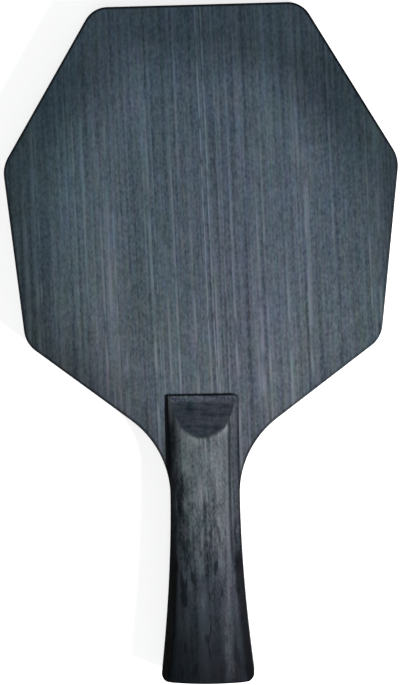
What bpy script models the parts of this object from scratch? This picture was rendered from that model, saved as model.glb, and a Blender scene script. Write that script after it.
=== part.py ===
"""Bare table tennis blade: a laminated eight-sided head with a flared two-scale handle.

The blade lies on its back in metres: +X runs across the head, +Y from the butt to the top of
the head, and +Z out of the front face. The origin is on the surface that the handle's crest
lies on, below the middle of the outline.

Seven plies of one outline are glued into the blade. Their tails run the whole length of the
handle, where one shaped wooden scale is glued on each face and sanded flush with them.
"""

import math

import bmesh
import bpy
from mathutils import Vector

# Outline of the plies. Widths are between the sharp corners that the rounding cuts off, and
# each "below top" is measured down the racket from the top edge of the head.
OVERALL_LENGTH = 0.2570
TOP_EDGE_WIDTH = 0.0794
WIDEST_WIDTH = 0.1508
WIDEST_BELOW_TOP = 0.0598
LOWER_WIDTH = 0.1356
LOWER_BELOW_TOP = 0.1276
TOP_CORNER_RADIUS = 0.0097
WIDEST_CORNER_RADIUS = 0.0125
LOWER_CORNER_RADIUS = 0.0110
THROAT_RADIUS = 0.0366

# Handle in plan. Its narrowest place, the waist, is where the throat's curve ends.
HANDLE_LENGTH = 0.1087
HANDLE_TOP_WIDTH = 0.0270
WAIST_WIDTH = 0.0264
WAIST_BELOW_TOP = 0.1868
BUTT_WIDTH = 0.0361
FLARE_POWER = 1.83
BUTT_CORNER_RADIUS = 0.0031

# Thickness of the laminate, from the middle outwards.
CORE_THICKNESS = 0.0029
CARBON_THICKNESS = 0.0002
MEDIAL_THICKNESS = 0.0006
FACE_THICKNESS = 0.0006
GLUE_LINE = 0.00005
EDGE_BREAK = 0.0003
EDGE_BREAK_FADE = 0.0200

# One handle scale in section: a low side wall, a side that leans in to a worn shoulder, then a
# shallow dome up to the crest.
SCALE_HEIGHT_WAIST = 0.0085
SCALE_HEIGHT_BUTT = 0.0094
SIDE_WALL_HEIGHT = 0.0006
SHOULDER_HEIGHT_WAIST = 0.0061
SHOULDER_HEIGHT_BUTT = 0.0067
SHOULDER_INSET = 0.0037
SHOULDER_ROUNDING = 0.0018
BUTT_EDGE_RADIUS = 0.0028

# The slanted cut at the top of each scale: the step left standing on the blade, and how far
# down the crest the cut runs.
SLANT_STEP = 0.0015
SLANT_LENGTH = 0.0158

# Facets in each round stretch.
CORNER_STEPS = 7
THROAT_STEPS = 14
UPPER_GRIP_STEPS = 7
FLARE_STEPS = 12
BUTT_CORNER_STEPS = 6
SHOULDER_STEPS = 4
DOME_STEPS = 6

MERGE_DISTANCE = 1e-6
SHARP_ANGLE = math.radians(30)

HANDLE_TOP_BELOW_TOP = OVERALL_LENGTH - HANDLE_LENGTH

# Heights above the middle plane of the blade.
CARBON_BASE = CORE_THICKNESS / 2 + GLUE_LINE
MEDIAL_BASE = CARBON_BASE + CARBON_THICKNESS + GLUE_LINE
FACE_BASE = MEDIAL_BASE + MEDIAL_THICKNESS + GLUE_LINE
FACE_TOP = FACE_BASE + FACE_THICKNESS
SCALE_BASE = FACE_TOP + GLUE_LINE


# Outline. Its points are (half width, distance below the top edge).


def corner_arc(before, corner, after, radius):
    """Points of the arc that rounds a sharp corner between two straight edges."""
    back = (before - corner).normalized()
    onward = (after - corner).normalized()
    half_angle = back.angle(onward) / 2
    centre = corner + (back + onward).normalized() * radius / math.sin(half_angle)
    start = corner + back * radius / math.tan(half_angle) - centre
    end = corner + onward * radius / math.tan(half_angle) - centre
    shares = [step / CORNER_STEPS for step in range(CORNER_STEPS + 1)]
    return [centre + start.slerp(end, share) * radius for share in shares]


def throat_arc(lower_corner):
    """The concave curve from the lower edge of the head into the waist, which it meets square."""
    centre = Vector((WAIST_WIDTH / 2 + THROAT_RADIUS, WAIST_BELOW_TOP))
    sight = centre - lower_corner
    lean = math.atan2(-sight.x, sight.y) + math.asin(THROAT_RADIUS / sight.length)
    points = []
    for step in range(THROAT_STEPS + 1):
        turn = lean * (1 - step / THROAT_STEPS)
        points.append(centre - THROAT_RADIUS * Vector((math.cos(turn), math.sin(turn))))
    return points


def end_rounding(below_top, radius):
    """How far a rounded end draws in at this distance from the butt."""
    past_start = below_top - (OVERALL_LENGTH - radius)
    if past_start <= 0:
        return 0.0
    return radius - math.sqrt(max(radius**2 - past_start**2, 0.0))


def flare(below_top):
    """0 at the waist, rising to 1 at the butt."""
    share = (below_top - WAIST_BELOW_TOP) / (OVERALL_LENGTH - WAIST_BELOW_TOP)
    return max(share, 0.0) ** FLARE_POWER


def flared_half_width(below_top):
    """Half width of the handle, which flares towards the butt and a little towards the head."""
    above_waist = (WAIST_BELOW_TOP - below_top) / (WAIST_BELOW_TOP - HANDLE_TOP_BELOW_TOP)
    upper = (HANDLE_TOP_WIDTH - WAIST_WIDTH) / 2 * max(above_waist, 0.0) ** FLARE_POWER
    lower = (BUTT_WIDTH - WAIST_WIDTH) / 2 * flare(below_top)
    return WAIST_WIDTH / 2 + upper + lower


def grip_half_width(below_top):
    """Half width of the handle, with the butt's corners rounded off."""
    return flared_half_width(below_top) - end_rounding(below_top, BUTT_CORNER_RADIUS)


def placed(half_width, below_top, height=0.0):
    """The point of the racket at this place of the outline."""
    return Vector((half_width, OVERALL_LENGTH / 2 - below_top, height))


def lower_grip_stations():
    """Places from just below the waist to the butt, closer together round the butt's corner."""
    corner_start = OVERALL_LENGTH - BUTT_CORNER_RADIUS
    run = corner_start - WAIST_BELOW_TOP
    stations = [WAIST_BELOW_TOP + run * (step + 1) / FLARE_STEPS for step in range(FLARE_STEPS)]
    for step in range(BUTT_CORNER_STEPS):
        turn = math.pi / 2 * (step + 1) / BUTT_CORNER_STEPS
        stations.append(corner_start + BUTT_CORNER_RADIUS * math.sin(turn))
    return stations


def dome_height(across, half_width, below_top):
    """Height of the dome of a scale's section, a circle's arc through both shoulders."""
    crest = crest_height(below_top)
    rise = crest - shoulder_height(below_top)
    reach = half_width - SHOULDER_INSET
    radius = (reach**2 + rise**2) / (2 * rise)
    return crest - radius + math.sqrt(radius**2 - across**2)


def half_section(below_top):
    """(across, height) from the foot of a scale's right side over the shoulder to the crest.

    The butt's corners are rounded about upright axes, so they cut the side off at one width.
    """
    half_width = flared_half_width(below_top)
    wall_top = Vector((half_width, SIDE_WALL_HEIGHT))
    shoulder = Vector((half_width - SHOULDER_INSET, shoulder_height(below_top)))
    side_end = shoulder + (wall_top - shoulder).normalized() * SHOULDER_ROUNDING
    dome_start = shoulder.x - SHOULDER_ROUNDING
    dome_end = Vector((dome_start, dome_height(dome_start, half_width, below_top)))
    points = [Vector((half_width, 0)), wall_top]
    for step in range(SHOULDER_STEPS + 1):
        share = step / SHOULDER_STEPS
        points.append(side_end.lerp(shoulder, share).lerp(shoulder.lerp(dome_end, share), share))
    for step in range(1, DOME_STEPS + 1):
        across = dome_start * (1 - step / DOME_STEPS)
        points.append(Vector((across, dome_height(across, half_width, below_top))))
    cut_off = grip_half_width(below_top)
    return [Vector((min(point.x, cut_off), point.y)) for point in points]


def ply_half_outline():
    """The right half of a ply, from the top edge round the head and handle to the butt's end."""
    top_middle = Vector((0, 0))
    top = Vector((TOP_EDGE_WIDTH / 2, 0))
    widest = Vector((WIDEST_WIDTH / 2, WIDEST_BELOW_TOP))
    lower = Vector((LOWER_WIDTH / 2, LOWER_BELOW_TOP))
    throat = throat_arc(lower)
    points = corner_arc(top_middle, top, widest, TOP_CORNER_RADIUS)
    points += corner_arc(top, widest, lower, WIDEST_CORNER_RADIUS)
    points += corner_arc(widest, lower, throat[0], LOWER_CORNER_RADIUS)
    points += throat
    points += [Vector((grip_half_width(s), s)) for s in lower_grip_stations()]
    return [placed(point.x, point.y) for point in points]


def drawn_in(points, amount_at):
    """The half outline moved inwards, square to itself, by an amount that may change along it."""
    moved = []
    for index, point in enumerate(points):
        across = Vector((-point.x, point.y, 0))
        before = points[index - 1] if index else across
        after = points[index + 1] if index + 1 < len(points) else across
        first = (point - before).normalized()
        second = (after - point).normalized()
        inward = (first + second).normalized().cross(Vector((0, 0, 1)))
        mitre = math.sqrt((1 + first.dot(second)) / 2)
        moved.append(point + inward * amount_at(point) / mitre)
    return moved


def edge_break_at(point):
    """The sanded edge of a face ply, which fades out where the handle begins."""
    above_waist = WAIST_BELOW_TOP - (OVERALL_LENGTH / 2 - point.y)
    return EDGE_BREAK * min(max(above_waist / EDGE_BREAK_FADE, 0.0), 1.0)


# Solids


def closed_mesh(name, mesh_maker):
    """A mesh data block from a bmesh, with coincident points joined and faces pointing out."""
    bmesh.ops.remove_doubles(mesh_maker, verts=mesh_maker.verts[:], dist=MERGE_DISTANCE)
    bmesh.ops.recalc_face_normals(mesh_maker, faces=mesh_maker.faces[:])
    mesh = bpy.data.meshes.new(name)
    mesh_maker.to_mesh(mesh)
    mesh_maker.free()
    return mesh


def ply_mesh(name, base, thickness, edge_break=0.0):
    """One ply: the outline raised from base by its thickness, its upper edge broken if asked."""
    outline = ply_half_outline()
    levels = [(outline, base), (outline, base + thickness - edge_break)]
    if edge_break:
        levels.append((drawn_in(outline, edge_break_at), base + thickness))
    ply = bmesh.new()
    right = [[ply.verts.new((p.x, p.y, z)) for p in ring] for ring, z in levels]
    left = [[ply.verts.new((-p.x, p.y, z)) for p in ring] for ring, z in levels]
    for side in (right, left):
        for low, high in zip(side, side[1:]):
            for index in range(len(outline) - 1):
                ply.faces.new((low[index], low[index + 1], high[index + 1], high[index]))
    for low, high in zip(range(len(levels) - 1), range(1, len(levels))):
        for end in (0, -1):
            ply.faces.new((right[low][end], right[high][end], left[high][end], left[low][end]))
    for level in (0, -1):
        for index in range(len(outline) - 1):
            across = (right[level][index], right[level][index + 1])
            ply.faces.new((*across, left[level][index + 1], left[level][index]))
    return closed_mesh(name, ply)


def crest_height(below_top):
    """Height of the crest above the glued face, with the butt's edge rounded over."""
    height = SCALE_HEIGHT_WAIST + (SCALE_HEIGHT_BUTT - SCALE_HEIGHT_WAIST) * flare(below_top)
    return height - end_rounding(below_top, BUTT_EDGE_RADIUS)


def shoulder_height(below_top):
    """Height of the shoulders above the glued face, with the butt's edge rounded over."""
    rise = (SHOULDER_HEIGHT_BUTT - SHOULDER_HEIGHT_WAIST) * flare(below_top)
    return SHOULDER_HEIGHT_WAIST + rise - end_rounding(below_top, BUTT_EDGE_RADIUS)


def scale_section(below_top):
    """Section of a scale from its right foot over the crest to its left foot."""
    right = half_section(below_top)
    left = [Vector((-point.x, point.y)) for point in reversed(right[:-1])]
    return [placed(point.x, below_top, SCALE_BASE + point.y) for point in right + left]


def scale_stations():
    """Places along a scale from its top end to the butt."""
    run = WAIST_BELOW_TOP - HANDLE_TOP_BELOW_TOP
    upper = [
        HANDLE_TOP_BELOW_TOP + run * step / UPPER_GRIP_STEPS
        for step in range(UPPER_GRIP_STEPS + 1)
    ]
    return upper + lower_grip_stations()


def scale_mesh(name):
    """One handle scale: sections lofted to the butt, then the top end cut on the slant."""
    scale = bmesh.new()
    sections = [[scale.verts.new(p) for p in scale_section(s)] for s in scale_stations()]
    for upper, lower in zip(sections, sections[1:]):
        for index in range(len(upper) - 1):
            quad = (upper[index], upper[index + 1], lower[index + 1], lower[index])
            scale.faces.new(quad)
        scale.faces.new((upper[0], lower[0], lower[-1], upper[-1]))
    scale.faces.new(sections[0])
    scale.faces.new(sections[-1])
    cut_slant(scale)
    return closed_mesh(name, scale)


def cut_slant(scale):
    """Saws off the top end along a plane that rises from the step to the crest."""
    bmesh.ops.recalc_face_normals(scale, faces=scale.faces[:])
    foot = placed(0, HANDLE_TOP_BELOW_TOP, SCALE_BASE + SLANT_STEP)
    end = HANDLE_TOP_BELOW_TOP + SLANT_LENGTH
    crest = placed(0, end, SCALE_BASE + crest_height(end))
    normal = Vector((1, 0, 0)).cross(foot - crest).normalized()
    parts = scale.verts[:] + scale.edges[:] + scale.faces[:]
    bmesh.ops.bisect_plane(
        scale, geom=parts, dist=MERGE_DISTANCE, plane_co=foot, plane_no=normal, clear_outer=True
    )
    rim = [edge for edge in scale.edges if edge.is_boundary]
    bmesh.ops.holes_fill(scale, edges=rim, sides=0)


# Materials and objects


def finish_material(name, colour, roughness):
    """A plain finish of wood or carbon cloth."""
    material = bpy.data.materials.new(name)
    material.use_nodes = True
    material.diffuse_color = (*colour, 1)
    shader = material.node_tree.nodes["Principled BSDF"]
    shader.inputs["Base Color"].default_value = (*colour, 1)
    shader.inputs["Roughness"].default_value = roughness
    shader.inputs["Metallic"].default_value = 0.0
    return material


def add_piece(name, mesh, material, middle_plane, turned_over=False):
    """Adds one piece, parented to the middle plane; the back pieces are front ones turned over."""
    piece = bpy.data.objects.new(name, mesh)
    bpy.context.scene.collection.objects.link(piece)
    piece.parent = middle_plane
    if turned_over:
        piece.rotation_euler = (0, math.pi, 0)
    mesh.materials.clear()
    mesh.materials.append(material)
    mesh.shade_smooth()
    mesh.set_sharp_from_angle(angle=SHARP_ANGLE)
    return piece


def add_middle_plane():
    """An empty on the blade's middle plane, as high as the handle's crest hangs below it."""
    hang = max(SCALE_BASE + crest_height(station) for station in scale_stations())
    middle_plane = bpy.data.objects.new("middle_plane", None)
    middle_plane.location = (0, 0, hang)
    bpy.context.scene.collection.objects.link(middle_plane)
    return middle_plane


def build_racket():
    """The core, then each pair of plies outwards, then the two scales."""
    middle_plane = add_middle_plane()
    core_wood = finish_material("core_wood", (0.036, 0.032, 0.029), 0.60)
    carbon_cloth = finish_material("carbon_cloth", (0.016, 0.017, 0.019), 0.40)
    medial_wood = finish_material("medial_wood", (0.024, 0.022, 0.021), 0.55)
    stained_veneer = finish_material("stained_veneer", (0.075, 0.092, 0.115), 0.50)
    stained_handle = finish_material("stained_handle", (0.050, 0.056, 0.065), 0.45)

    core = ply_mesh("core_ply", -CORE_THICKNESS / 2, CORE_THICKNESS)
    add_piece("core_ply", core, core_wood, middle_plane)
    paired = (
        ("carbon_ply", ply_mesh("carbon_ply", CARBON_BASE, CARBON_THICKNESS), carbon_cloth),
        ("medial_ply", ply_mesh("medial_ply", MEDIAL_BASE, MEDIAL_THICKNESS), medial_wood),
        ("face_ply", ply_mesh("face_ply", FACE_BASE, FACE_THICKNESS, EDGE_BREAK), stained_veneer),
        ("handle_scale", scale_mesh("handle_scale"), stained_handle),
    )
    for name, mesh, material in paired:
        add_piece(f"front_{name}", mesh, material, middle_plane)
        add_piece(f"back_{name}", mesh, material, middle_plane, turned_over=True)


for leftover in list(bpy.data.objects):
    bpy.data.objects.remove(leftover)
build_racket()
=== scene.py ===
"""Looks of the bare table tennis blade: stained veneer, shaped wooden handle, laminate edges.

Row frame, in metres: +X across the head, +Y from the butt to the top of the head, +Z out of
the front face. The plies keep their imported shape, apart from the two face veneers, which get
a sanded round edge, and the two handle scales, which get a finer surface and worn edges.
"""

import math

import bmesh
import bpy
from mathutils import Matrix, Vector


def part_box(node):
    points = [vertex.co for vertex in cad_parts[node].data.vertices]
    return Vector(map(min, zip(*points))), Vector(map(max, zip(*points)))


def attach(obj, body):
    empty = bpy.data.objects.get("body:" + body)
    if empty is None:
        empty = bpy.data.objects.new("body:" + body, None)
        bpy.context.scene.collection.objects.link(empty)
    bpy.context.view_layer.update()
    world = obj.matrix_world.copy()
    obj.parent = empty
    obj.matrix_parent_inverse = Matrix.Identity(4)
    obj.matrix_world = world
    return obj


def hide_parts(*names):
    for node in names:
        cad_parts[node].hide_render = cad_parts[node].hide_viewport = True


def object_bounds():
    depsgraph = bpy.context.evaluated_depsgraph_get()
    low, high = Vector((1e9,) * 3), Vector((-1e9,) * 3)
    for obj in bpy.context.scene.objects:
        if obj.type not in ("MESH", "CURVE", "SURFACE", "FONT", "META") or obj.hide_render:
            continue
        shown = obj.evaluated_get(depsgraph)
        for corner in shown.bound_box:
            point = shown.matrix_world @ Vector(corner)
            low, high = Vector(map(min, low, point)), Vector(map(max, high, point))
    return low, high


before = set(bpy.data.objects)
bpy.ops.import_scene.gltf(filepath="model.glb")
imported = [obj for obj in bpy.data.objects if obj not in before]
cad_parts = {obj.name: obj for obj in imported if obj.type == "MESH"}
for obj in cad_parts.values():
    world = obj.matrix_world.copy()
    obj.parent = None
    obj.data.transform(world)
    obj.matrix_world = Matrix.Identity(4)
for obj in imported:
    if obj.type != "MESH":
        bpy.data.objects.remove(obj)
CAD_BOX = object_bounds()

# Photograph: its longer side in pixels, and the camera that its outline was fitted with.
PHOTO_LONG_SIDE = 685
FOCAL_PIXELS = 1500
SENSOR_WIDTH_MM = 36.0
CAMERA_DISTANCE = 0.5706
CAMERA_ROLL = math.radians(-0.98)
CAMERA_PITCH = math.radians(0.93)
CAMERA_YAW = math.radians(2.95)
AIM_OFFSET_PIXELS = (2.46, 2.41)
AIM_BELOW_TOP = 0.12915
CLIP_NEAR = 0.01
CLIP_FAR = 20

# Studio: the sky that lights the part, and the floor, which glows where it is seen directly.
SKY_COLOUR = (0.95, 0.97, 1.0)
SKY_STRENGTH = 0.22
WHITE = (1, 1, 1)
FLOOR_COLOUR = (0.9, 0.9, 0.9)
FLOOR_ROUGHNESS = 0.8
FLOOR_SPECULAR = 0.2
FLOOR_GLOW = 0.7
FLOOR_REACH = 3.0
FLOOR_GAP = 0.0002

# Veneer edge, rounded by sanding, and the dark line that the stain leaves along it. The rounding
# sets in over HANDLE_FADE above the handle's waist, where the line has a tenth of its width.
VENEER_ROUNDING = 0.00045
VENEER_ROUNDING_STEPS = 5
RIM_WIDTH = 0.0010
RIM_AT_HANDLE = 0.1
HANDLE_FADE = 0.0200

# Rings on the flat face: where each lies, as a share of the rim's width, and its stain.
FLAT_RINGS = ((0.30, 1.0), (0.70, 0.0))

# A facet of the outline shorter than the first length belongs to a round stretch, and one longer
# than the second is a straight edge of the head.
ROUND_FACET = 0.0045
STRAIGHT_EDGE = 0.02

# Handle scale, as built: widths across the handle, heights above its glued face.
HANDLE_TOP_WIDTH = 0.0270
WAIST_WIDTH = 0.0264
WAIST_FROM_TOP = 0.0385
BUTT_WIDTH = 0.0361
FLARE_POWER = 1.83
BUTT_CORNER_RADIUS = 0.0031
CREST_WAIST = 0.0085
CREST_BUTT = 0.0094
SIDE_WALL_HEIGHT = 0.0006
SHOULDER_WAIST = 0.0061
SHOULDER_BUTT = 0.0067
SHOULDER_INSET = 0.0037
SHOULDER_ROUNDING = 0.0018
BUTT_EDGE_RADIUS = 0.0028
SLANT_STEP = 0.0015
SLANT_LENGTH = 0.0158
WORN_EDGE = 0.00035
WORN_CORNER = 0.0012
WEAR_SPREAD = 3 * WORN_EDGE
# Height of the dark line along a scale's foot: glue stain with painted contact shadow.
FOOT_DARK_HEIGHT = 0.0012

# Fineness of the handle's surface.
SIDE_STEPS = 14
SHOULDER_STEPS = 8
DOME_STEPS = 22
SLANT_STATION = 0.00045
GRIP_STATION = 0.0018
ROUNDING_STEPS = 6

# What is painted on the handle's points: how far each one is cut, worn, darkened at the foot
# by glue stain and painted contact shadow, and on a side.
HANDLE_MARKS = ("cut", "worn", "rim", "side")

# Meshes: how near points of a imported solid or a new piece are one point, and from what angle an
# edge is shaded sharp, or lies between a flat face and a wall.
SAME_POINT = 1e-6
SAME_LEVEL = 1e-5
SAME_NEW_POINT = 1e-7
SHARP_ANGLE = math.radians(35)
WALL_ANGLE = 1


# Values in a material's tree


def connect(tree, value, socket):
    """Links a value to a socket, or sets the socket to a number or a colour."""
    if isinstance(value, Value):
        tree.links.new(value.socket, socket)
    elif isinstance(value, tuple):
        socket.default_value = (*value, 1)
    else:
        socket.default_value = value


class Value:
    """A number or a colour in a tree. Numbers take +, -, * and abs() like plain ones."""

    def __init__(self, tree, socket):
        self.tree = tree
        self.socket = socket

    def math(self, operation, *others):
        """What one math node makes of this number and the others."""
        node = self.tree.nodes.new("ShaderNodeMath")
        node.operation = operation
        for value, socket in zip((self, *others), node.inputs):
            connect(self.tree, value, socket)
        return Value(self.tree, node.outputs[0])

    def __add__(self, other):
        return self.math("ADD", other)

    def __sub__(self, other):
        return self.math("SUBTRACT", other)

    def __mul__(self, other):
        return self.math("MULTIPLY", other)

    def __abs__(self):
        return self.math("ABSOLUTE")

    def larger(self, other):
        """The larger of two numbers."""
        return self.math("MAXIMUM", other)

    def rest(self):
        """What is left of 1."""
        return self * -1 + 1

    def ramp(self, start, full, kind="LINEAR"):
        """0 where this number is at start, 1 where it is at full."""
        node = self.tree.nodes.new("ShaderNodeMapRange")
        node.interpolation_type = kind
        node.inputs["From Min"].default_value = start
        node.inputs["From Max"].default_value = full
        connect(self.tree, self, node.inputs["Value"])
        return Value(self.tree, node.outputs[0])

    def step(self, start, full):
        """A ramp that eases in and out."""
        return self.ramp(start, full, "SMOOTHSTEP")

    def between(self, first, second):
        """Goes from the first number to the second as this share goes from 0 to 1."""
        return self * (second - first) + first


def weighted_sum(*terms):
    """0.5 plus each noise's distance from its middle, times its weight."""
    total = 0.5
    for value, weight in terms:
        total = (value - 0.5) * weight + total
    return total


# Camera and studio


def photo_camera():
    """The camera at the photograph's place, with its middle shifted by moving, not by the lens."""
    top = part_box("front_face_ply")[1]
    aim = Vector((0, top.y - AIM_BELOW_TOP, top.z))
    turn = (
        Matrix.Rotation(CAMERA_ROLL, 3, "Z")
        @ Matrix.Rotation(CAMERA_PITCH, 3, "X")
        @ Matrix.Rotation(CAMERA_YAW, 3, "Y")
    )
    flip = Matrix.Diagonal((1, -1, -1))
    to_world = (flip @ turn @ flip).transposed()
    pixel = CAMERA_DISTANCE / FOCAL_PIXELS
    back = Vector((-AIM_OFFSET_PIXELS[0] * pixel, AIM_OFFSET_PIXELS[1] * pixel, CAMERA_DISTANCE))
    camera = bpy.data.objects.new("camera", bpy.data.cameras.new("camera"))
    bpy.context.scene.collection.objects.link(camera)
    camera.data.sensor_width = SENSOR_WIDTH_MM
    camera.data.lens = FOCAL_PIXELS / PHOTO_LONG_SIDE * SENSOR_WIDTH_MM
    placed = to_world.to_4x4()
    placed.translation = aim + to_world @ back
    camera.matrix_world = placed
    camera.data.clip_start = CLIP_NEAR
    camera.data.clip_end = CLIP_FAR
    bpy.context.scene.camera = camera


def area_lamp(name, location, target, size, power):
    """A soft square lamp that faces its target."""
    lamp = bpy.data.lights.new(name, "AREA")
    lamp.shape = "SQUARE"
    lamp.size = size
    lamp.energy = power
    lamp_object = bpy.data.objects.new(name, lamp)
    lamp_object.location = location
    facing = Vector(target) - Vector(location)
    lamp_object.rotation_euler = facing.to_track_quat("-Z", "Y").to_euler()
    bpy.context.scene.collection.objects.link(lamp_object)


def seen_directly(tree):
    """1 for rays that show the background: from the camera, from gloss and through glass."""
    path = tree.nodes.new("ShaderNodeLightPath")
    shown = Value(tree, path.outputs["Is Camera Ray"])
    for ray in ("Is Glossy Ray", "Is Transmission Ray"):
        shown = shown.larger(Value(tree, path.outputs[ray]))
    return shown


def world_light(tree, colour, strength):
    """One background light of the world."""
    light = tree.nodes.new("ShaderNodeBackground")
    connect(tree, colour, light.inputs["Color"])
    connect(tree, strength, light.inputs["Strength"])
    return light.outputs[0]


def studio():
    """Plain soft light from the lower right, and a world that lights softly but shows white."""
    area_lamp("key", location=(0.28, -0.21, 0.35), target=(0.0, -0.02, 0.0), size=0.07, power=2.5)
    area_lamp("overhead", location=(-0.02, -0.20, 0.90), target=(0.0, -0.04, 0.0), size=0.30, power=0.8)
    world = bpy.data.worlds.new("studio")
    bpy.context.scene.world = world
    world.use_nodes = True
    tree = world.node_tree
    shown = tree.nodes.new("ShaderNodeMixShader")
    connect(tree, seen_directly(tree), shown.inputs[0])
    tree.links.new(world_light(tree, SKY_COLOUR, SKY_STRENGTH), shown.inputs[1])
    tree.links.new(world_light(tree, WHITE, 1.0), shown.inputs[2])
    tree.links.new(shown.outputs[0], tree.nodes["World Output"].inputs["Surface"])


def floor():
    """A white floor just under the handle, which shows white but darkens under the blade."""
    mesh = bpy.data.meshes.new("floor")
    reach = FLOOR_REACH
    corners = [(-reach, -reach, 0), (reach, -reach, 0), (reach, reach, 0), (-reach, reach, 0)]
    mesh.from_pydata(corners, [], [(0, 1, 2, 3)])
    ground = bpy.data.objects.new("floor", mesh)
    ground.location.z = CAD_BOX[0].z - FLOOR_GAP
    bpy.context.scene.collection.objects.link(ground)
    material = bpy.data.materials.new("floor")
    material.use_nodes = True
    tree = material.node_tree
    paper = tree.nodes["Principled BSDF"]
    connect(tree, FLOOR_COLOUR, paper.inputs["Base Color"])
    connect(tree, FLOOR_ROUGHNESS, paper.inputs["Roughness"])
    connect(tree, FLOOR_SPECULAR, paper.inputs["Specular IOR Level"])
    connect(tree, WHITE, paper.inputs["Emission Color"])
    connect(tree, seen_directly(tree) * FLOOR_GLOW, paper.inputs["Emission Strength"])
    mesh.materials.append(material)


# What the materials share

# The wood's grain runs almost along the blade.
GRAIN_TURN = (0, 0, math.radians(-1.6))


class Surface:
    """A material in the making, with each point's place on the part."""

    def __init__(self, name):
        self.material = bpy.data.materials.new(name)
        self.material.use_nodes = True
        self.tree = self.material.node_tree
        self.place = self.tree.nodes.new("ShaderNodeTexCoord").outputs["Object"]
        split = self.tree.nodes.new("ShaderNodeSeparateXYZ")
        self.tree.links.new(self.place, split.inputs[0])
        self.across = Value(self.tree, split.outputs[0])
        self.along = Value(self.tree, split.outputs[1])

    def noise(self, cell, offset, turn=(0, 0, 0), detail=2.0, roughness=0.5):
        """Noise from 0 to 1, whose lumps have the given size in metres along each axis."""
        turned = self.tree.nodes.new("ShaderNodeMapping")
        turned.inputs["Rotation"].default_value = turn
        self.tree.links.new(self.place, turned.inputs["Vector"])
        scaled = self.tree.nodes.new("ShaderNodeMapping")
        scaled.inputs["Scale"].default_value = [1 / size for size in cell]
        scaled.inputs["Location"].default_value = offset
        self.tree.links.new(turned.outputs[0], scaled.inputs["Vector"])
        node = self.tree.nodes.new("ShaderNodeTexNoise")
        node.inputs["Scale"].default_value = 1.0
        node.inputs["Detail"].default_value = detail
        node.inputs["Roughness"].default_value = roughness
        self.tree.links.new(scaled.outputs[0], node.inputs["Vector"])
        return Value(self.tree, node.outputs[0])

    def grain(self, width, length, seed, detail=1.0, roughness=0.5):
        """Streaks along the grain, from 0 to 1."""
        cell = (width, length, 3 * width)
        return self.noise(cell, (seed, 2 * seed, 0), GRAIN_TURN, detail, roughness)

    def wander(self, lumps_per_metre, reach):
        """A slow sideways wander, in metres, as a line runs along the part."""
        node = self.tree.nodes.new("ShaderNodeTexNoise")
        node.noise_dimensions = "1D"
        node.inputs["Scale"].default_value = lumps_per_metre
        node.inputs["Detail"].default_value = 1.0
        connect(self.tree, self.along, node.inputs["W"])
        return (Value(self.tree, node.outputs[0]) - 0.5) * reach

    def painted(self, name):
        """A number painted on the mesh's points."""
        node = self.tree.nodes.new("ShaderNodeAttribute")
        node.attribute_name = name
        return Value(self.tree, node.outputs["Fac"])

    def mix(self, share, first, second, blend="MIX"):
        """Two colours mixed by a share."""
        node = self.tree.nodes.new("ShaderNodeMix")
        node.data_type = "RGBA"
        node.blend_type = blend
        # A colour mix reads its inputs 0, 6 and 7, and gives its result at output 2.
        for value, index in ((share, 0), (first, 6), (second, 7)):
            connect(self.tree, value, node.inputs[index])
        return Value(self.tree, node.outputs[2])

    def tinted(self, colour, share, first, second):
        """A colour multiplied by a tint that lies between two."""
        return self.mix(1.0, colour, self.mix(share, first, second), "MULTIPLY")

    def shaded(self, colour, strength):
        """A colour multiplied by a number."""
        node = self.tree.nodes.new("ShaderNodeVectorMath")
        node.operation = "SCALE"
        connect(self.tree, colour, node.inputs[0])
        connect(self.tree, strength, node.inputs["Scale"])
        return Value(self.tree, node.outputs[0])

    def finished(self, colour, roughness, relief, depth, specular):
        """The material, with a relief of a real depth in metres."""
        shader = self.tree.nodes["Principled BSDF"]
        connect(self.tree, colour, shader.inputs["Base Color"])
        connect(self.tree, roughness, shader.inputs["Roughness"])
        connect(self.tree, specular, shader.inputs["Specular IOR Level"])
        bump = self.tree.nodes.new("ShaderNodeBump")
        bump.inputs["Strength"].default_value = 1.0
        bump.inputs["Distance"].default_value = depth
        connect(self.tree, relief, bump.inputs["Height"])
        self.tree.links.new(bump.outputs[0], shader.inputs["Normal"])
        return self.material


# Veneer material

# Colours in linear light, and tints that a colour is multiplied by.
VENEER_DARK = (0.037, 0.051, 0.064)
VENEER_LIGHT = (0.126, 0.154, 0.176)
BRIGHT_LINE = (0.165, 0.195, 0.220)
# Black of the stain line along the rim, and of the painted shadow beside a scale.
VENEER_RIM_STAIN_AND_SHADOW = (0.004, 0.005, 0.007)
VENEER_GREENISH = (0.87, 1.03, 1.00)
VENEER_PINKISH = (1.13, 0.97, 1.05)
VENEER_YELLOWISH = (1.00, 1.00, 0.88)
VENEER_BLUISH = (1.00, 0.99, 1.13)
# Hue low and high on the head: the greyer low one is partly painted sheen.
VENEER_LOWER_HUE = (1.02, 0.96, 0.98)
VENEER_UPPER_HUE = (0.93, 1.08, 1.16)

# Two pale veins near the middle of the head: where they are at mid-length, how far they lean
# and wander, how far apart they lie, their half width, and how bright they are.
VEIN_PLACE = 0.0038
VEIN_LEAN = 0.0290
VEIN_LUMPS = 30.0
VEIN_WANDER = 0.0008
VEIN_SPACING = 0.0021
VEIN_WIDTH = 0.0004
VEIN_STRENGTH = 0.95

# Where the veneer's look changes, y along the blade or x across it, both from its middle. Each
# pair is the place where the change starts and the place where it is full.
RAYS_FADE_Y = (0.220, -0.050)
UPPER_HUE_Y = (0.0, 0.120)
OUTER_X = (0.030, 0.078)
PALER_TOP_Y = (0.100, 0.122)
WEAK_RIM_Y = (0.085, 0.060)
WEAK_RIM_X = (0.0, 0.050)

# Hue: more pink for each metre to the right, more green at the sides and a little everywhere.
PINK_RIGHTWARD = 2.2
GREEN_SIDES = 0.45
GREEN_ALL = 0.08
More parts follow.
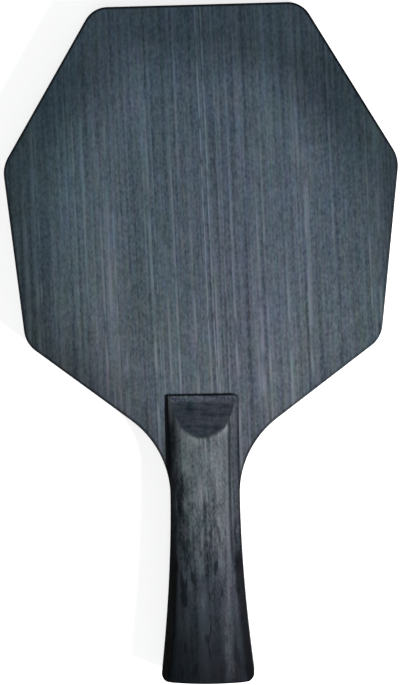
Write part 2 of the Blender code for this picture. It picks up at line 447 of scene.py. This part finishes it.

# Dark margin along the head's edges: how far in it reaches, how dark it starts, how it leans
# to one side, differently along the blade, and widens towards the top, and how far its corners
# are rounded. Then the painted shade by which the whole veneer darkens for each metre up, and how
# much less at the top.
MARGIN_REACH = (-0.0090, 0.0190)
MARGIN_DARKEST = 0.47
MARGIN_LEAN = 0.117
MARGIN_LEAN_CHANGE = -1.9
MARGIN_WIDENING = -0.16
MARGIN_CORNER = 0.012
DARKER_UPWARD = -0.9
PALER_TOP = 0.25

# Black line along the rim: its strength, and what it loses low down on the left and the right.
RIM_STRENGTH = 0.95
RIM_LOSS_LEFT = 0.18
RIM_LOSS_RIGHT = 0.53

# Painted shadow that a scale casts beside its foot: how far it lies to the left, ends short and rises.
FOOT_SHADOW_LEFT = 0.0021
FOOT_SHADOW_SHORT = 0.0008
FOOT_SHADOW_ENDS = (0.00020, -0.00010)
FOOT_SHADOW_RISE = (0.0006, 0.0003)


def edge_distance(surface):
    """Distance in metres from the nearest of the head's straight edges."""
    across = abs(surface.across)
    nearest = None
    for start, end in head_edges():
        inward = Vector((end.y - start.y, start.x - end.x)).normalized()
        away = across * inward.x + surface.along * inward.y - inward.dot(start)
        nearest = away if nearest is None else nearest.math("SMOOTH_MIN", away, MARGIN_CORNER)
    return nearest


def pale_veins(surface):
    """1 in two thin lines side by side that run down the middle of the head."""
    wander = surface.wander(VEIN_LUMPS, VEIN_WANDER)
    across = surface.across + wander + surface.along * VEIN_LEAN
    from_middle = abs(across - VEIN_PLACE)
    return abs(from_middle - VEIN_SPACING / 2).step(VEIN_WIDTH, VEIN_WIDTH / 4)


def bright_lines(surface, thread):
    """How bright a line is here: broken rays, fainter towards the top, and the two veins."""
    ray = surface.grain(width=0.00115, length=0.220, seed=8.8, detail=0.0).step(0.58, 0.72)
    unbroken = surface.grain(width=0.0040, length=0.014, seed=6.4).step(0.30, 0.62)
    rays = ray * unbroken * surface.along.ramp(*RAYS_FADE_Y)
    veins = pale_veins(surface) * thread.step(0.20, 0.55)
    return rays.larger(veins * VEIN_STRENGTH)


def veneer_hues(surface, colour):
    """The stain's uneven hue: pinker to the right, greener at both sides, bluer at the top, and greyer
    low down, which is partly painted sheen.
    """
    patch = surface.noise((0.022, 0.080, 0.050), (11, 4, 0), turn=GRAIN_TURN)
    fleck = surface.grain(width=0.0018, length=0.010, seed=9.2, detail=2.0)
    outer = abs(surface.across).step(*OUTER_X)
    pink = weighted_sum((patch, 0.9), (fleck, 1.6)) + surface.across * PINK_RIGHTWARD
    pink = pink - outer * GREEN_SIDES - GREEN_ALL
    colour = surface.tinted(colour, pink, VENEER_GREENISH, VENEER_PINKISH)
    wash = surface.noise((0.030, 0.060, 0.050), (6, 9, 0))
    dye = surface.grain(width=0.0020, length=0.010, seed=4.7, detail=2.0)
    blue = weighted_sum((wash, 0.8), (dye, 1.8))
    colour = surface.tinted(colour, blue, VENEER_YELLOWISH, VENEER_BLUISH)
    # Bluer towards the top; the greyer hue low down is partly painted sheen.
    upper = surface.along.ramp(*UPPER_HUE_Y)
    return surface.tinted(colour, upper, VENEER_LOWER_HUE, VENEER_UPPER_HUE)


def veneer_margin_and_shade(surface):
    """How light the veneer is: darker in a margin along the head's edges, and painted shade that
    darkens it towards the top, less at the very top.
    """
    lean = surface.along * MARGIN_LEAN_CHANGE + MARGIN_LEAN
    inwards = edge_distance(surface) + surface.across * lean + surface.along * MARGIN_WIDENING
    margin = inwards.step(*MARGIN_REACH).between(MARGIN_DARKEST, 1.0)
    paler_top = surface.along.step(*PALER_TOP_Y) * PALER_TOP
    return margin * (surface.along * DARKER_UPWARD + paler_top + 1.0)


def handle_shadow(surface):
    """1 in the painted shadow that a scale casts on the face, left of its foot and above its top end.
    """
    scale_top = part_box("front_handle_scale")[1].y
    reach = HANDLE_TOP_WIDTH / 2 - FOOT_SHADOW_SHORT
    ends = [reach + end for end in FOOT_SHADOW_ENDS]
    rise = [scale_top + height for height in FOOT_SHADOW_RISE]
    return abs(surface.across + FOOT_SHADOW_LEFT).step(*ends) * surface.along.step(*rise)


def rim_stain_and_shadow(surface):
    """1 in the black line of stain along the rim, weaker low down and most so on the right, and in the
    painted shadow beside the handle.
    """
    loss = surface.across.step(*WEAK_RIM_X).between(-RIM_LOSS_LEFT, -RIM_LOSS_RIGHT)
    strength = surface.along.step(*WEAK_RIM_Y) * loss + RIM_STRENGTH
    rim = surface.painted("rim") * strength
    return rim.larger(handle_shadow(surface))


def veneer_material():
    """Open-grained veneer stained slate blue-grey, darker along the edges of the head, with painted
    shade towards the top and a painted shadow beside the handle.
    """
    surface = Surface("face_veneer")
    broad = surface.grain(width=0.0100, length=0.300, seed=3.1)
    streak = surface.grain(width=0.00125, length=0.110, seed=7.3, detail=0.0)
    thread = surface.grain(width=0.00100, length=0.0060, seed=1.9)
    hair = surface.grain(width=0.00090, length=0.070, seed=2.6, detail=0.0)
    speck = surface.grain(width=0.00080, length=0.0013, seed=5.5, detail=0.0)
    tone = weighted_sum((broad, 0.30), (streak, 0.75), (thread, 0.60), (hair, 0.70), (speck, 0.8))
    colour = surface.mix(tone, VENEER_DARK, VENEER_LIGHT)
    colour = surface.mix(bright_lines(surface, thread), colour, BRIGHT_LINE)
    colour = veneer_hues(surface, colour)
    # A darker margin along the edges, and painted shade towards the top.
    colour = surface.shaded(colour, veneer_margin_and_shade(surface))
    # The rim's black stain line, and the painted shadow of the handle scale.
    colour = surface.mix(rim_stain_and_shadow(surface), colour, VENEER_RIM_STAIN_AND_SHADOW)
    roughness = weighted_sum((streak, 0.35), (hair, 0.25)).ramp(-0.9, 1.7)
    relief = weighted_sum((speck, 0.5), (thread, 0.8), (streak, 0.5))
    return surface.finished(colour, roughness, relief, depth=0.00005, specular=0.05)


# Handle material

# Colours in linear light, and tints that a colour is multiplied by.
INKED_DARK = (0.006, 0.008, 0.011)
INKED_LIGHT = (0.052, 0.060, 0.074)
# Grey of the worn crest, which also holds its painted sheen.
WORN_SHEEN_DARK = (0.040, 0.050, 0.058)
WORN_SHEEN_LIGHT = (0.167, 0.184, 0.200)
# Dark of the spots, and of the stain and painted shade in the shoulder crease.
DARK_SPOT_AND_SHADE = (0.007, 0.009, 0.012)
# Painted light on the shaded left side beside the cut.
LIT_LEFT_SIDE = (0.220, 0.225, 0.235)
CHIPPED_WOOD = (0.200, 0.212, 0.225)
END_GRAIN_DARK = (0.014, 0.021, 0.030)
END_GRAIN_LIGHT = (0.061, 0.067, 0.082)
# Dark of the glue stain and the painted contact shadow along a scale's foot.
HANDLE_GLUE_AND_SHADOW = (0.006, 0.007, 0.009)
HANDLE_GREENISH = (0.90, 1.03, 0.98)
HANDLE_PINKISH = (1.08, 0.98, 1.04)

# The lines on the slanted cut run almost straight across.
SAW_TURN = (0, 0, math.radians(4))

# Where the handle's look changes, measured from the butt. Each pair is the place where the change
# starts and the place where it is full.
BUTT_EDGE_SHADE = (0.0003, 0.0014)
DRAINED_BUTT = (-0.004, 0.034)
CALM_BUTT = (0.012, 0.050)
WORN_SHEEN_END = (0.040, 0.076)
STREAK_END = (0.0, 0.008)
CREASE_END = (0.040, 0.052)
DARK_LEFT_SIDE = (0.075, 0.035)
DARK_RIGHT_SIDE = (0.054, 0.045)
SHADED_LEFT_END = (0.046, 0.034)

# Where it changes, measured from the top of the scale.
SCUFFED_TOP = (0.0032, 0.0012)
LIGHT_TOP = (0.0050, 0.0)
DARK_FOOT_FROM_TOP = (0.002, 0.014)
CHIPPED_FROM = (0.0030, 0.0100)
LIT_LEFT_REACH = (0.012, 0.0)
DARK_BELOW_TOP = (0.004, 0.020)
NARROW_WORN_SHEEN = (0.036, 0.018)
SPOTS_FROM = (0.030, 0.060)

# Where it changes across the handle, with the right side as plus.
LEFT_HALF = (0.002, -0.002)
WORN_SHEEN_LEFT = (-0.0130, -0.0030)
WORN_SHEEN_RIGHT = (0.0145, 0.0035)
WORN_SHEEN_SHIFT_BELOW_CUT = 0.0050
# Where the painted highlight streak lies, and its width.
LIGHT_STREAK_PLACE = 0.0088
LIGHT_STREAK_WIDTH = (0.0022, 0.0002)
SCUFFED_LEFT = (0.002, -0.009)
CHIPPED_RIGHT = (-0.0085, -0.0020)
SHADED_LEFT = (0.0, -0.010)
PINKER_RIGHT = (-0.004, 0.009)

# How far an edge between two looks wavers, in metres, with the wood's unevenness.
STREAK_WAVER = 0.004
WORN_SHEEN_WAVER = 0.010
WORN_SHEEN_END_WAVER = 0.030
WORN_SHEEN_END_BANDS = 0.050

# On a side, in shares of its width from the shoulder: the crease along the shoulder, where the side's
# painted shade sets in, and how far the left one's start is shifted.
CREASE_PLACE = 0.05
CREASE_WIDTH = (0.22, 0.05)
SIDE_START = (0.0, 0.5)
LEFT_SHIFT = 0.20

# Strengths, as shares of 1.
LIGHT_STREAK_STRENGTH = 0.27
MARK_STRENGTH = 0.75
LEFT_SIDE_DARK = 0.50
LOWER_LEFT_DARK = 0.40
RIGHT_SIDE_DARK = 0.72
SHADED_LEFT_LIGHT = 0.70
CALM_CONTRAST = 0.35
DRAINED_LIGHT = 0.35
BUTT_EDGE_SHADE_LIGHT = 0.15


class HandleWood(Surface):
    """The handle's wood: its grain, and where each point lies on a scale."""

    def __init__(self):
        super().__init__("handle_wood")
        low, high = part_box("front_handle_scale")
        self.from_butt = self.along - low.y
        self.from_top = self.along * -1 + high.y
        self.left = self.across.step(*LEFT_HALF)
        self.right = self.left.rest()
        self.broad = self.grain(width=0.0040, length=0.060, seed=2.4)
        self.streak = self.grain(width=0.0013, length=0.030, seed=6.6, detail=2.0)
        self.fibre = self.grain(width=0.00060, length=0.0014, seed=3.7, detail=2.0, roughness=0.6)
        self.cloud = self.noise((0.0035, 0.0085, 0.0060), (4, 8, 0), detail=3.0, roughness=0.55)
        self.uneven = self.cloud - 0.5
        self.tone = weighted_sum(
            (self.broad, 1.6), (self.streak, 1.4), (self.fibre, 1.5), (self.cloud, 1.4)
        )

    def lower_left(self):
        """1 in the lower part, where the left side is darkest."""
        return self.from_butt.step(*DARK_LEFT_SIDE)

    def on_side(self):
        """1 on the slanted sides; low down the left one reaches further in, higher up less."""
        shift = self.lower_left().between(-LEFT_SHIFT, LEFT_SHIFT) * self.left
        return (shift + self.painted("side")).step(*SIDE_START)

    def inked(self):
        """Wood that has kept its stain: calmer and darker to the butt, with painted shade that turns
        the butt's rounded edge black.
        """
        contrast = self.from_butt.step(*CALM_BUTT).between(CALM_CONTRAST, 1.0)
        drained = self.from_butt.step(*DRAINED_BUTT).between(DRAINED_LIGHT, 1.0)
        butt_shade = self.from_butt.step(*BUTT_EDGE_SHADE).between(BUTT_EDGE_SHADE_LIGHT, 1.0)
        stained = self.mix((self.tone - 0.5) * contrast + 0.5, INKED_DARK, INKED_LIGHT)
        return self.shaded(stained, drained * butt_shade)

    def highlight_streak(self):
        """A painted highlight: one lighter streak right of the middle that runs on almost to the butt.
        """
        beside = abs(self.across + self.uneven * STREAK_WAVER - LIGHT_STREAK_PLACE)
        return beside.step(*LIGHT_STREAK_WIDTH) * self.from_butt.step(*STREAK_END)

    def worn_and_sheen_share(self):
        """Where the stain is worn off, with painted sheen: between the shoulders down to mid-grip, and
        in the painted highlight streak.
        """
        wavy = self.across + self.uneven * WORN_SHEEN_WAVER
        below_cut = self.from_top.step(*NARROW_WORN_SHEEN) * WORN_SHEEN_SHIFT_BELOW_CUT
        sideways = (wavy + below_cut).step(*WORN_SHEEN_LEFT) * wavy.step(*WORN_SHEEN_RIGHT)
        ragged = self.from_butt + (self.broad - 0.5) * WORN_SHEEN_END_BANDS + self.uneven * WORN_SHEEN_END_WAVER
        worn_sheen = sideways * ragged.step(*WORN_SHEEN_END)
        return worn_sheen.larger(self.highlight_streak() * LIGHT_STREAK_STRENGTH)

    def spots_and_crease_shade(self):
        """Dark spots on the lower grip, and a broken crease along the right shoulder, stained and
        darkened with painted shade.
        """
        spots = self.noise((0.0020, 0.0090, 0.010), (1, 5, 0), detail=1.0).step(0.60, 0.68)
        spots = spots * self.from_top.step(*SPOTS_FROM)
        crease = abs(self.painted("side") - CREASE_PLACE).step(*CREASE_WIDTH) * self.right
        crease = crease * self.streak.step(0.30, 0.55) * self.from_butt.step(*CREASE_END)
        return spots.larger(crease) * MARK_STRENGTH

    def side_shade_and_stain(self):
        """Painted shade on the sides, with some dark stain: the left one darker from the cut down, the
        right one low down, and the left half of the lower grip shaded too.
        """
        below_top = self.from_top.step(*DARK_BELOW_TOP)
        left_dark = below_top * LEFT_SIDE_DARK + self.lower_left() * LOWER_LEFT_DARK
        right_dark = self.from_butt.step(*DARK_RIGHT_SIDE) * RIGHT_SIDE_DARK
        dark = self.on_side() * (left_dark * self.left + right_dark * self.right)
        shaded = self.across.step(*SHADED_LEFT) * self.from_butt.step(*SHADED_LEFT_END)
        return dark.rest() * shaded.between(1.0, SHADED_LEFT_LIGHT)

    def lit_left_share(self):
        """Where painted light lifts the shaded left side beside the slanted cut."""
        return self.on_side() * self.left * self.from_top.ramp(*LIT_LEFT_REACH)

    def chipped_share(self):
        """Where the slanted cut's lower edge is chipped, mostly on the right."""
        chipped = (self.streak + self.cloud).step(0.85, 1.15) * self.from_top.step(*CHIPPED_FROM)
        return self.painted("worn") * chipped * self.across.step(*CHIPPED_RIGHT)

    def body_colour(self):
        """Everything but the slanted cut and the butt's end."""
        # Worn grey, with the painted sheen of the crest.
        worn_sheen = self.mix(self.tone, WORN_SHEEN_DARK, WORN_SHEEN_LIGHT)
        colour = self.mix(self.worn_and_sheen_share(), self.inked(), worn_sheen)
        # Dark spots, and the crease's stain and painted shade.
        colour = self.mix(self.spots_and_crease_shade(), colour, DARK_SPOT_AND_SHADE)
        # Painted shade on the sides, with some dark stain.
        colour = self.shaded(colour, self.side_shade_and_stain())
        # Painted light on the left side beside the cut.
        colour = self.mix(self.lit_left_share(), colour, LIT_LEFT_SIDE)
        return self.mix(self.chipped_share(), colour, CHIPPED_WOOD)

    def cut_colour(self, saw):
        """End grain, lighter and scuffed along the top edge of the slanted cut."""
        tone = weighted_sum((saw, 2.0), (self.cloud, 1.2), (self.fibre, 0.9))
        scuffed = self.fibre.step(0.30, 0.65) * self.from_top.step(*SCUFFED_TOP)
        leftward = self.across.step(*SCUFFED_LEFT).between(0.8, 1.8)
        light = self.from_top.step(*LIGHT_TOP).between(1.0, 1.35)
        end_grain = self.mix(tone, END_GRAIN_DARK, END_GRAIN_LIGHT)
        return self.shaded(end_grain, light + scuffed * leftward)


def handle_material():
    """Sanded wood stained black, worn grey on the crest with painted sheen, darker towards the butt,
    and with painted shade and light on its sides.
    """
    wood = HandleWood()
    saw = wood.noise((0.0090, 0.0016, 0.002), (9, 1, 0), SAW_TURN, detail=3.0, roughness=0.6)
    colour = wood.mix(wood.painted("cut"), wood.body_colour(), wood.cut_colour(saw))
    dye = wood.noise((0.0030, 0.0090, 0.0060), (7, 3, 0))
    pink = weighted_sum((dye, 2.0), (wood.across.ramp(*PINKER_RIGHT), 0.45))
    colour = wood.tinted(colour, pink, HANDLE_GREENISH, HANDLE_PINKISH)
    # Glue stain and painted contact shadow along the scale's foot, fading in below the top end.
    foot = wood.painted("rim") * wood.from_top.step(*DARK_FOOT_FROM_TOP)
    colour = wood.mix(foot, colour, HANDLE_GLUE_AND_SHADOW)
    roughness = wood.tone.ramp(-1.2, 1.8)
    relief = weighted_sum((wood.fibre, 0.9), (wood.streak, 0.7), (saw, 0.2))
    return wood.finished(colour, roughness, relief, depth=0.00007, specular=0.006)


# Materials of the plies' edges

CORE_DARK = (0.016, 0.014, 0.012)
CORE_LIGHT = (0.056, 0.050, 0.046)
CORE_PORE = 0.0009
MEDIAL_DARK = (0.010, 0.009, 0.009)
MEDIAL_LIGHT = (0.038, 0.035, 0.033)
MEDIAL_PORE = 0.0004
WEAVE_TURN = (0, 0, math.radians(45))
CARBON_DARK = (0.006, 0.006, 0.007)
CARBON_LIGHT = (0.026, 0.027, 0.030)


def edge_wood_material(name, dark, light, pore):
    """Wood seen at its stained edge: long fibres along the ply, and pores where it is end grain."""
    surface = Surface(name)
    fibre = surface.noise((pore, 0.0100, 0.7 * pore), (2, 2, 0), detail=3.0, roughness=0.6)
    ring = surface.noise((0.0040, 0.0600, 0.0012), (5, 1, 0))
    blot = surface.noise((0.0060, 0.0060, 0.0060), (3, 6, 0))
    tone = weighted_sum((fibre, 1.6), (ring, 1.0), (blot, 1.2))
    colour = surface.mix(tone, dark, light)
    return surface.finished(colour, fibre.ramp(-0.9, 1.2), fibre, depth=0.00008, specular=0.2)


def carbon_material():
    """Black carbon cloth in resin; only its cut edge shows."""
    surface = Surface("carbon_cloth")
    tow = surface.noise((0.0010, 0.0010, 0.0002), (1, 1, 0), turn=WEAVE_TURN)
    colour = surface.mix(tow, CARBON_DARK, CARBON_LIGHT)
    return surface.finished(colour, tow.ramp(-0.6, 1.6), tow, depth=0.00003, specular=0.5)


# Outline


def cad_outline(node):
    """The node's outline seen from above, in order, from its lowest level of points."""
    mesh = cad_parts[node].data
    base = min(vertex.co.z for vertex in mesh.vertices)
    flat = bmesh.new()
    flat.from_mesh(mesh)
    bmesh.ops.remove_doubles(flat, verts=flat.verts[:], dist=SAME_POINT)
    level = {vertex for vertex in flat.verts if vertex.co.z < base + SAME_LEVEL}
    links = {}
    for edge in flat.edges:
        start, end = edge.verts
        if start in level and end in level and edge.calc_face_angle(0) > WALL_ANGLE:
            links.setdefault(start, []).append(end)
            links.setdefault(end, []).append(start)
    first = max(level, key=lambda vertex: (vertex.co.y, vertex.co.x))
    ring, last = [first], first
    following = min(links[first], key=lambda vertex: vertex.co.y)
    while following is not first:
        ring.append(following)
        onward = [vertex for vertex in links[following] if vertex is not last][0]
        last, following = following, onward
    points = [Vector((vertex.co.x, vertex.co.y)) for vertex in ring]
    flat.free()
    return points


def waist_y():
    """Where the handle is narrowest, along the blade."""
    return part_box("front_handle_scale")[1].y - WAIST_FROM_TOP


def head_edges():
    """The right half of the head's straight edges, from the top, as pairs of their ends."""
    outline = cad_outline("core_ply")
    edges = []
    for start, end in zip(outline, outline[1:] + outline[:1]):
        middle = (start + end) / 2
        right_half = middle.x > -SAME_LEVEL
        if (end - start).length > STRAIGHT_EDGE and right_half and middle.y > waist_y():
            edges.append((start, end))
    return edges


def finer(points):
    """The outline with each facet of a round stretch split once, onto the curve it stands for."""
    count = len(points)
    turns = []
    for index in range(count):
        before = points[index] - points[index - 1]
        after = points[(index + 1) % count] - points[index]
        turns.append(math.atan2(before.cross(after), before.dot(after)))
    result = []
    for index in range(count):
        start, end = points[index], points[(index + 1) % count]
        chord = end - start
        result.append(start)
        if chord.length < ROUND_FACET:
            # A shallow arc rises over its chord by an eighth of its turn times the chord.
            turn = (turns[index] + turns[(index + 1) % count]) / 2
            outward = Vector((chord.y, -chord.x)) * (turn / 8)
            result.append((start + end) / 2 + outward)
    return result


def inset(points, amounts):
    """The closed outline moved inwards by an amount at each point; it runs clockwise."""
    moved = []
    count = len(points)
    for index, point in enumerate(points):
        first = (point - points[index - 1]).normalized()
        second = (points[(index + 1) % count] - point).normalized()
        mean = (first + second).normalized()
        inward = Vector((mean.y, -mean.x))
        mitre = math.sqrt((1 + first.dot(second)) / 2)
        moved.append(point + inward * amounts[index] / mitre)
    return moved


# Veneer


def veneer_rings(glued, bare):
    """Outline, height and stain of each ring, from the glued face over the round edge inwards."""
    outline = finer(cad_outline("core_ply"))
    waist = waist_y()
    shares = [min(max((point.y - waist) / HANDLE_FADE, 0.0), 1.0) for point in outline]
    outward = math.copysign(1, bare - glued)
    rings = [(outline, glued, 1.0)]
    for step in range(VENEER_ROUNDING_STEPS + 1):
        turn = math.pi / 2 * step / VENEER_ROUNDING_STEPS
        amounts = [VENEER_ROUNDING * share * (1 - math.cos(turn)) for share in shares]
        drop = VENEER_ROUNDING * (1 - math.sin(turn))
        rings.append((inset(outline, amounts), bare - outward * drop, 1.0))
    widths = [RIM_WIDTH * (RIM_AT_HANDLE + (1 - RIM_AT_HANDLE) * share) for share in shares]
    for reach, stain in FLAT_RINGS:
        amounts = [VENEER_ROUNDING + reach * width for width in widths]
        rings.append((inset(outline, amounts), bare, stain))
    return rings


def veneer_piece(name, node, turned_over):
    """A face ply with its outer edge rounded by sanding, and its rim marked for the stain."""
    low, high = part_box(node)
    glued, bare = (high.z, low.z) if turned_over else (low.z, high.z)
    piece_mesh = bmesh.new()
    rim = piece_mesh.verts.layers.float.new("rim")
    loops = []
    for ring, height, stain in veneer_rings(glued, bare):
        loop = [piece_mesh.verts.new((point.x, point.y, height)) for point in ring]
        for vertex in loop:
            vertex[rim] = stain
        loops.append(loop)
    for lower, upper in zip(loops, loops[1:]):
        for index in range(len(lower)):
            onward = (index + 1) % len(lower)
            piece_mesh.faces.new((lower[index], lower[onward], upper[onward], upper[index]))
    piece_mesh.faces.new(loops[0])
    piece_mesh.faces.new(loops[-1])
    return finished_piece(name, piece_mesh, node)


# Handle scale


def end_rounding(from_end, radius):
    """How far a rounded end draws in at this distance from the end."""
    if from_end >= radius:
        return 0.0
    return radius - math.sqrt(max(radius**2 - (radius - from_end) ** 2, 0.0))


class HandleShape:
    """The sizes of one handle scale, measured down from its top end."""

    def __init__(self):
        low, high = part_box("front_handle_scale")
        self.length = high.y - low.y
        self.top_y = high.y
        self.glued_z = low.z

    def flare(self, down):
        """0 at the waist, rising to 1 at the butt."""
        return max((down - WAIST_FROM_TOP) / (self.length - WAIST_FROM_TOP), 0.0) ** FLARE_POWER

    def half_width(self, down):
        """Half width of the handle, before its corners are rounded off."""
        upper = (HANDLE_TOP_WIDTH - WAIST_WIDTH) / 2
        upper *= max(1 - down / WAIST_FROM_TOP, 0.0) ** FLARE_POWER
        lower = (BUTT_WIDTH - WAIST_WIDTH) / 2 * self.flare(down)
        return WAIST_WIDTH / 2 + upper + lower

    def crest(self, down):
        """Height of the crest above the glued face."""
        height = CREST_WAIST + (CREST_BUTT - CREST_WAIST) * self.flare(down)
        return height - end_rounding(self.length - down, BUTT_EDGE_RADIUS)

    def shoulder(self, down):
        """Height of the shoulders above the glued face."""
        height = SHOULDER_WAIST + (SHOULDER_BUTT - SHOULDER_WAIST) * self.flare(down)
        return height - end_rounding(self.length - down, BUTT_EDGE_RADIUS)

    def dome(self, across, half, down):
        """Height of the dome, a circle's arc through both shoulders."""
        crest = self.crest(down)
        rise = crest - self.shoulder(down)
        reach = half - SHOULDER_INSET
        radius = (reach**2 + rise**2) / (2 * rise)
        return crest - radius + math.sqrt(radius**2 - across**2)

    def half_section(self, down, corner):
        """(across, height) from the foot of one side over the shoulder to the crest."""
        half = self.half_width(down) - end_rounding(down, corner)
        wall_top = Vector((half, SIDE_WALL_HEIGHT))
        shoulder = Vector((half - SHOULDER_INSET, self.shoulder(down)))
        side_end = shoulder + (wall_top - shoulder).normalized() * SHOULDER_ROUNDING
        dome_start = shoulder.x - SHOULDER_ROUNDING
        dome_end = Vector((dome_start, self.dome(dome_start, half, down)))
        points = [Vector((half, 0))]
        points += [wall_top.lerp(side_end, step / SIDE_STEPS) for step in range(SIDE_STEPS)]
        for step in range(SHOULDER_STEPS):
            share = step / SHOULDER_STEPS
            side = side_end.lerp(shoulder, share)
            top = shoulder.lerp(dome_end, share)
            points.append(side.lerp(top, share))
        for step in range(DOME_STEPS + 1):
            across = dome_start * (1 - step / DOME_STEPS)
            points.append(Vector((across, self.dome(across, half, down))))
        cut_off = half - end_rounding(self.length - down, BUTT_CORNER_RADIUS)
        return [Vector((min(point.x, cut_off), point.y)) for point in points]

    def slant(self, down):
        """Height of the slanted cut above the glued face."""
        rise = self.crest(SLANT_LENGTH) - SLANT_STEP
        return SLANT_STEP + rise * down / SLANT_LENGTH

    def stations(self):
        """Places down the scale: close at the slant and the rounded ends, wide along the grip."""
        slant_end = SLANT_LENGTH + 4 * WORN_EDGE
        corner = self.length - BUTT_CORNER_RADIUS
        places = []
        for step in range(ROUNDING_STEPS):
            places.append(WORN_EDGE * (1 - math.cos(math.pi / 2 * step / ROUNDING_STEPS)))
        places += evenly(WORN_EDGE, slant_end, SLANT_STATION)
        places += evenly(slant_end, corner, GRIP_STATION)
        steps = 2 * ROUNDING_STEPS
        for step in range(steps + 1):
            places.append(corner + BUTT_CORNER_RADIUS * math.sin(math.pi / 2 * step / steps))
        return places

    def section(self, down):
        """The arch from the right foot to the left: across, height, and the four marks."""
        right = self.half_section(down, WORN_CORNER)
        left = self.half_section(down, WORN_EDGE)
        left = [Vector((-point.x, point.y)) for point in reversed(left[:-1])]
        slant = self.slant(down) - end_rounding(down, WORN_EDGE)
        shoulder = self.half_width(down) - SHOULDER_INSET
        points = []
        for across, arch in right + left:
            height, cut = worn_join(arch, slant)
            below_edge = slant - arch
            worn = math.exp(-((below_edge / WEAR_SPREAD) ** 2)) if below_edge > 0 else 0.0
            # The foot's dark line: glue stain and painted contact shadow.
            rim = min(max(1 - (height - SIDE_WALL_HEIGHT) / FOOT_DARK_HEIGHT, 0.0), 1.0)
            side = (abs(across) - shoulder) / SHOULDER_INSET
            points.append((across, height, cut, worn, rim, side))
        return points


def evenly(start, end, spacing):
    """Places from the start up to just before the end, about this far apart."""
    count = round((end - start) / spacing)
    return [start + (end - start) * index / count for index in range(count)]


def worn_join(arch, slant):
    """The lower of the two heights, rounded where they meet, and how far it is the slant."""
    gap = (arch - slant) / WORN_EDGE
    if abs(gap) >= 1:
        return min(arch, slant), float(gap > 0)
    return min(arch, slant) - WORN_EDGE * (1 - abs(gap)) ** 2 / 4, (gap + 1) / 2


def handle_piece(name, node, turned_over):
    """One handle scale as a fine loft, closed at both ends and underneath."""
    shape = HandleShape()
    mirror_z = sum(point.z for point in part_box("core_ply"))
    scale = bmesh.new()
    layers = [scale.verts.layers.float.new(mark) for mark in HANDLE_MARKS]
    rows = []
    for down in shape.stations():
        row = []
        for across, height, *marks in shape.section(down):
            y = shape.top_y - down
            z = shape.glued_z + height
            place = (-across, y, mirror_z - z) if turned_over else (across, y, z)
            vertex = scale.verts.new(place)
            for layer, mark in zip(layers, marks):
                vertex[layer] = mark
            row.append(vertex)
        rows.append(row)
    for upper, lower in zip(rows, rows[1:]):
        for index in range(len(upper) - 1):
            scale.faces.new((upper[index], upper[index + 1], lower[index + 1], lower[index]))
        scale.faces.new((upper[0], lower[0], lower[-1], upper[-1]))
    scale.faces.new(rows[0])
    scale.faces.new(rows[-1])
    cut = layers[HANDLE_MARKS.index("cut")]
    for vertex in rows[-1]:
        vertex[cut] = 1.0
    return finished_piece(name, scale, node)


# Pieces


def finished_piece(name, piece_mesh, node):
    """The mesh as an object that stands for its CAD node and rides on the one body."""
    bmesh.ops.remove_doubles(piece_mesh, verts=piece_mesh.verts[:], dist=SAME_NEW_POINT)
    bmesh.ops.recalc_face_normals(piece_mesh, faces=piece_mesh.faces[:])
    mesh = bpy.data.meshes.new(name)
    piece_mesh.to_mesh(mesh)
    piece_mesh.free()
    mesh.shade_smooth()
    mesh.set_sharp_from_angle(angle=SHARP_ANGLE)
    piece = bpy.data.objects.new(name, mesh)
    bpy.context.scene.collection.objects.link(piece)
    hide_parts(node)
    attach(piece, "root")
    return piece


def dress(piece, material):
    """Gives the piece its one material and, if it is a new piece, its slot."""
    piece.data.materials.clear()
    piece.data.materials.append(material)


def build():
    """Replaces the veneers and scales, and gives every ply its material."""
    veneer = veneer_material()
    handle = handle_material()
    for side, turned_over in (("front", False), ("back", True)):
        face = veneer_piece(f"{side}_face_veneer", f"{side}_face_ply", turned_over)
        dress(face, veneer)
        scale = handle_piece(f"{side}_handle_wood", f"{side}_handle_scale", turned_over)
        dress(scale, handle)
    dress(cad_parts["core_ply"], edge_wood_material("core_wood", CORE_DARK, CORE_LIGHT, CORE_PORE))
    medial = edge_wood_material("medial_wood", MEDIAL_DARK, MEDIAL_LIGHT, MEDIAL_PORE)
    carbon = carbon_material()
    for side in ("front", "back"):
        dress(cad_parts[f"{side}_medial_ply"], medial)
        dress(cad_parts[f"{side}_carbon_ply"], carbon)


bpy.context.scene.view_settings.view_transform = "Standard"
photo_camera()
studio()
floor()
build()
